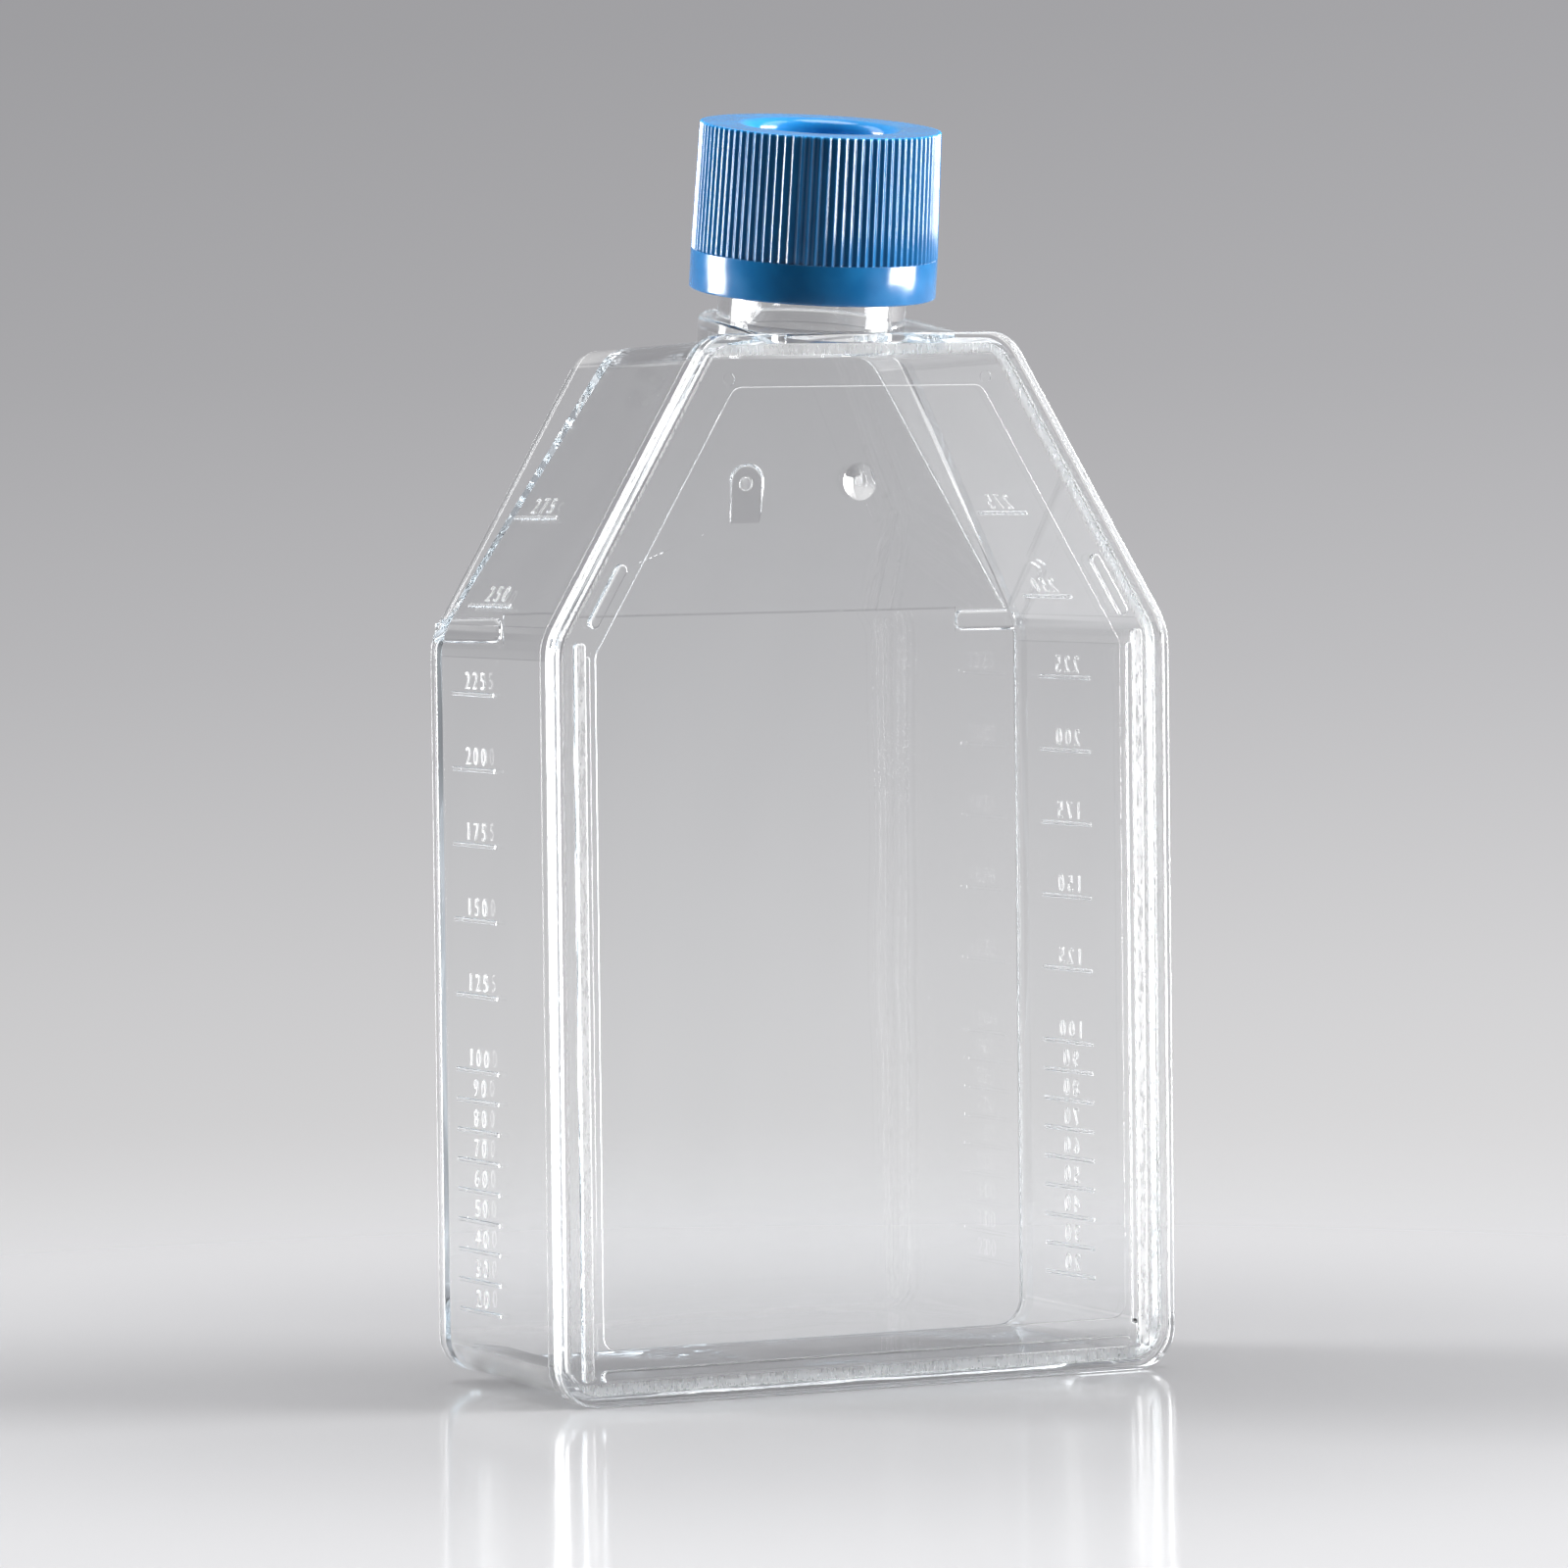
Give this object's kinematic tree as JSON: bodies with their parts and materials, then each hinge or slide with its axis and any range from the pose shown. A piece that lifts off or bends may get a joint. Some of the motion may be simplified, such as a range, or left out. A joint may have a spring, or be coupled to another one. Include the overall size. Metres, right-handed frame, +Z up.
{
  "type": "cell culture flask",
  "caption": "Clear flat-sided tissue culture flask with a canted neck, recessed cover plate, moulded volume graduations and a ribbed vented screw cap.",
  "frame": {"origin": "centre of the bounding box on the level the standing flask rests on", "axes": "+Z up the standing flask towards its cap, -Y out of the cover plate, +Y out of the growth wall, +X to the right of the cover plate"},
  "size_m": [0.085, 0.0406, 0.1554],
  "materials": {
    "clear_polystyrene": "crystal clear, polished, injection moulded",
    "blue_polyethylene": "opaque blue, satin gloss, fine grip ribs",
    "white_membrane": "matt white porous film"
  },
  "bodies": {
    "flask": {"flask_body": "clear_polystyrene", "front_plate": "clear_polystyrene"},
    "cap_carrier": {"vent_membrane": "white_membrane"},
    "closure": {"cap": "blue_polyethylene"}
  },
  "joints": [
    {"name": "cap_lift", "type": "slide", "parent": "flask", "child": "cap_carrier", "axis": [0, -0.134, 0.991], "range_m": [0, 0.0041]},
    {"name": "cap_turn", "type": "hinge", "parent": "cap_carrier", "child": "closure", "pos_m": [0, -0.00298, 0.1332], "axis": [0, -0.134, 0.991], "range_deg": [0, 450]}
  ],
  "couplings": [
    {"joint": "cap_lift", "follows": "cap_turn", "m_per_rad": 0.0005093}
  ]
}
